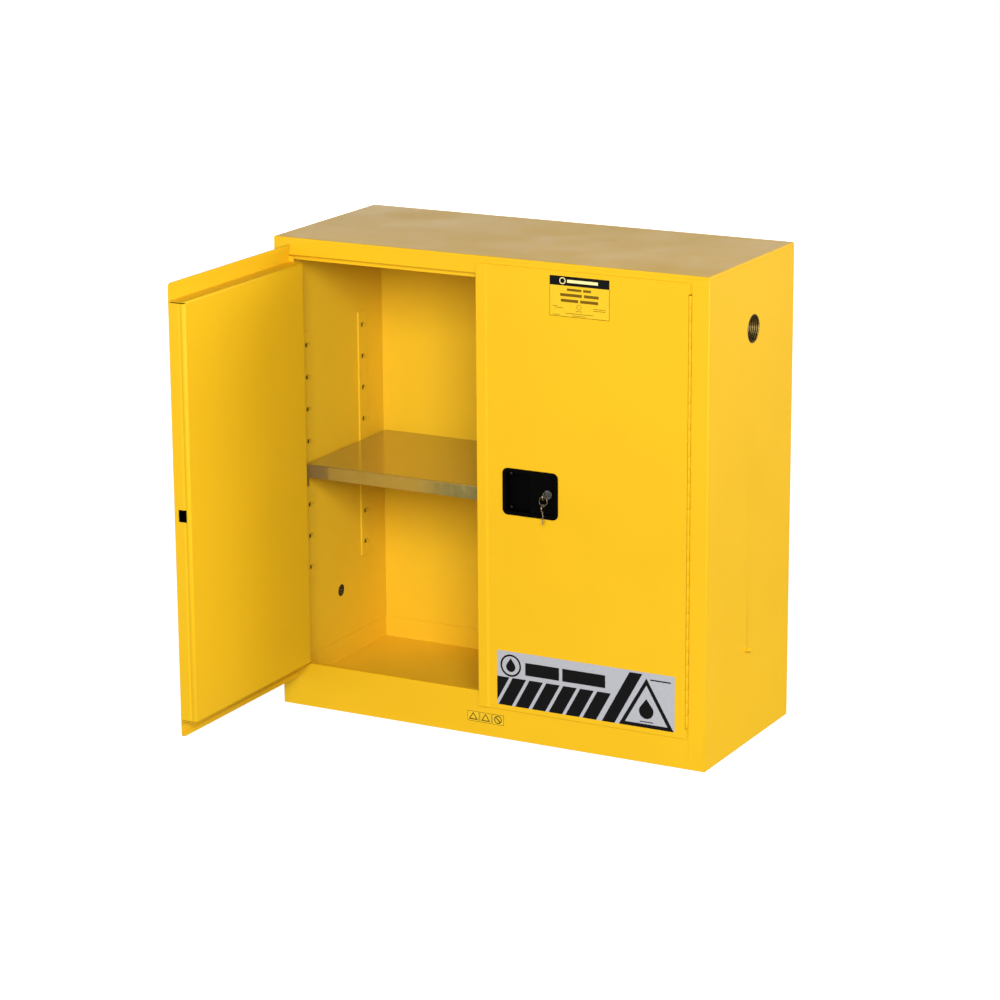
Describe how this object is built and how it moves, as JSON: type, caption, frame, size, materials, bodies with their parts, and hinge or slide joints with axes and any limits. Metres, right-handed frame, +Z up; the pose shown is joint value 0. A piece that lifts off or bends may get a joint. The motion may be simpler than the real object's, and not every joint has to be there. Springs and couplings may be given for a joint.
{
  "type": "flammable storage cabinet",
  "caption": "Yellow double-walled steel safety cabinet with two hinged doors, lift-out shelf, side vents, levelling feet and a recessed locking paddle that draws a bolt and rods.",
  "frame": {"origin": "centre of the cabinet's underside", "axes": "+X to the right seen from the front, +Y to the back, +Z up; the doors open towards -Y"},
  "size_m": [1.103, 0.9592, 1.118],
  "materials": {
    "yellow_paint": "textured gloss powder coat",
    "bare_steel": "zinc plated",
    "galvanised": "galvanised",
    "vent_brass": "yellow zinc",
    "black_plastic": "matt black",
    "chrome_lock": "polished",
    "label": "printed film"
  },
  "bodies": {
    "cabinet": {"outer_side_left": "yellow_paint", "outer_side_right": "yellow_paint", "outer_top": "yellow_paint", "outer_back": "yellow_paint", "sill_front": "yellow_paint", "top_rail": "yellow_paint", "base_pan": "yellow_paint", "foot_sockets": "yellow_paint", "floor_pan": "yellow_paint", "inner_side_left": "yellow_paint", "inner_side_right": "yellow_paint", "inner_back": "yellow_paint", "inner_ceiling": "yellow_paint", "standard_left_front": "yellow_paint", "standard_left_rear": "yellow_paint", "standard_right_front": "yellow_paint", "standard_right_rear": "yellow_paint", "left_hinge_frame_leaf": "yellow_paint", "right_hinge_frame_leaf": "yellow_paint", "latch_strikes": "yellow_paint", "ground_stud": "yellow_paint", "ground_nut_and_washer": "yellow_paint", "left_hinge_pin": "bare_steel", "right_hinge_pin": "bare_steel", "shelf_clips": "bare_steel", "vent_fitting_left": "vent_brass", "vent_fitting_right": "vent_brass", "flame_arrester_left": "vent_brass", "flame_arrester_right": "vent_brass", "base_label": "label"},
    "left_door": {"left_door_skin": "yellow_paint", "left_door_pan": "yellow_paint", "left_edge_channel": "yellow_paint", "strike_box": "black_plastic", "left_hinge_door_leaf": "yellow_paint"},
    "right_door": {"right_door_skin": "yellow_paint", "right_door_pan": "yellow_paint", "handle_cup": "black_plastic", "cup_screws": "bare_steel", "rod_guides": "bare_steel", "right_hinge_door_leaf": "yellow_paint", "door_label": "label", "band_label": "label", "paddle_pins": "bare_steel", "paddle_spring": "bare_steel"},
    "paddle_plate": {"paddle": "black_plastic", "lock_barrel": "chrome_lock"},
    "lock_core": {"lock_plug": "chrome_lock", "key": "chrome_lock"},
    "ring": {"key_ring": "chrome_lock"},
    "hanging_key": {"spare_key": "chrome_lock"},
    "cam": {"latch_cam": "bare_steel"},
    "bolt": {"centre_bolt": "bare_steel"},
    "rod_up": {"top_rod": "bare_steel"},
    "rod_down": {"bottom_rod": "bare_steel"},
    "lift_shelf": {"shelf": "galvanised"},
    "foot_fl": {"foot_front_left": "bare_steel"},
    "foot_fr": {"foot_front_right": "bare_steel"},
    "foot_rl": {"foot_rear_left": "bare_steel"},
    "foot_rr": {"foot_rear_right": "bare_steel"}
  },
  "joints": [
    {"name": "left_door_swing", "type": "hinge", "parent": "cabinet", "child": "left_door", "pos_m": [-0.5023, -0.2309, 0.586], "axis": [0, 0, -1], "range_deg": [-90, 90]},
    {"name": "right_door_swing", "type": "hinge", "parent": "cabinet", "child": "right_door", "pos_m": [0.5023, -0.2309, 0.586], "axis": [0, 0, 1], "range_deg": [0, 180]},
    {"name": "paddle_pull", "type": "hinge", "parent": "right_door", "child": "paddle_plate", "pos_m": [0.166, -0.224, 0.589], "axis": [0, 0, 1], "range_deg": [0, 25], "stiffness_Nm_per_rad": 1, "springref_deg": -17.19},
    {"name": "lock_turn", "type": "hinge", "parent": "paddle_plate", "child": "lock_core", "pos_m": [0.1585, -0.2335, 0.592], "axis": [0, 1, 0], "range_deg": [0, 90]},
    {"name": "key_ring_swing", "type": "hinge", "parent": "lock_core", "child": "ring", "pos_m": [0.1585, -0.2555, 0.592], "axis": [1, 0, 0], "range_deg": [-60, 8]},
    {"name": "spare_key_swing", "type": "hinge", "parent": "ring", "child": "hanging_key", "pos_m": [0.1585, -0.2555, 0.572], "axis": [1, 0, 0], "range_deg": [-45, 8]},
    {"name": "cam_turn", "type": "hinge", "parent": "right_door", "child": "cam", "pos_m": [0.062, -0.1966, 0.563], "axis": [0, 1, 0], "range_deg": [0, 33.1]},
    {"name": "bolt_slide", "type": "slide", "parent": "right_door", "child": "bolt", "axis": [1, 0, 0], "range_m": [0, 0.012]},
    {"name": "top_rod_slide", "type": "slide", "parent": "right_door", "child": "rod_up", "axis": [0, 0, -1], "range_m": [0, 0.012]},
    {"name": "bottom_rod_slide", "type": "slide", "parent": "right_door", "child": "rod_down", "axis": [0, 0, 1], "range_m": [0, 0.012]},
    {"name": "shelf_lift", "type": "slide", "parent": "cabinet", "child": "lift_shelf", "axis": [0, 0, 1], "range_m": [0, 0.3]},
    {"name": "foot_front_left_level", "type": "slide", "parent": "cabinet", "child": "foot_fl", "axis": [0, 0, -1], "range_m": [0, 0.015]},
    {"name": "foot_front_right_level", "type": "slide", "parent": "cabinet", "child": "foot_fr", "axis": [0, 0, -1], "range_m": [0, 0.015]},
    {"name": "foot_rear_left_level", "type": "slide", "parent": "cabinet", "child": "foot_rl", "axis": [0, 0, -1], "range_m": [0, 0.015]},
    {"name": "foot_rear_right_level", "type": "slide", "parent": "cabinet", "child": "foot_rr", "axis": [0, 0, -1], "range_m": [0, 0.015]}
  ],
  "couplings": [
    {"joint": "cam_turn", "follows": "paddle_pull", "ratio": 1.3236},
    {"joint": "bolt_slide", "follows": "paddle_pull", "m_per_rad": 0.027479},
    {"joint": "top_rod_slide", "follows": "paddle_pull", "m_per_rad": 0.027479},
    {"joint": "bottom_rod_slide", "follows": "paddle_pull", "m_per_rad": 0.027479}
  ]
}
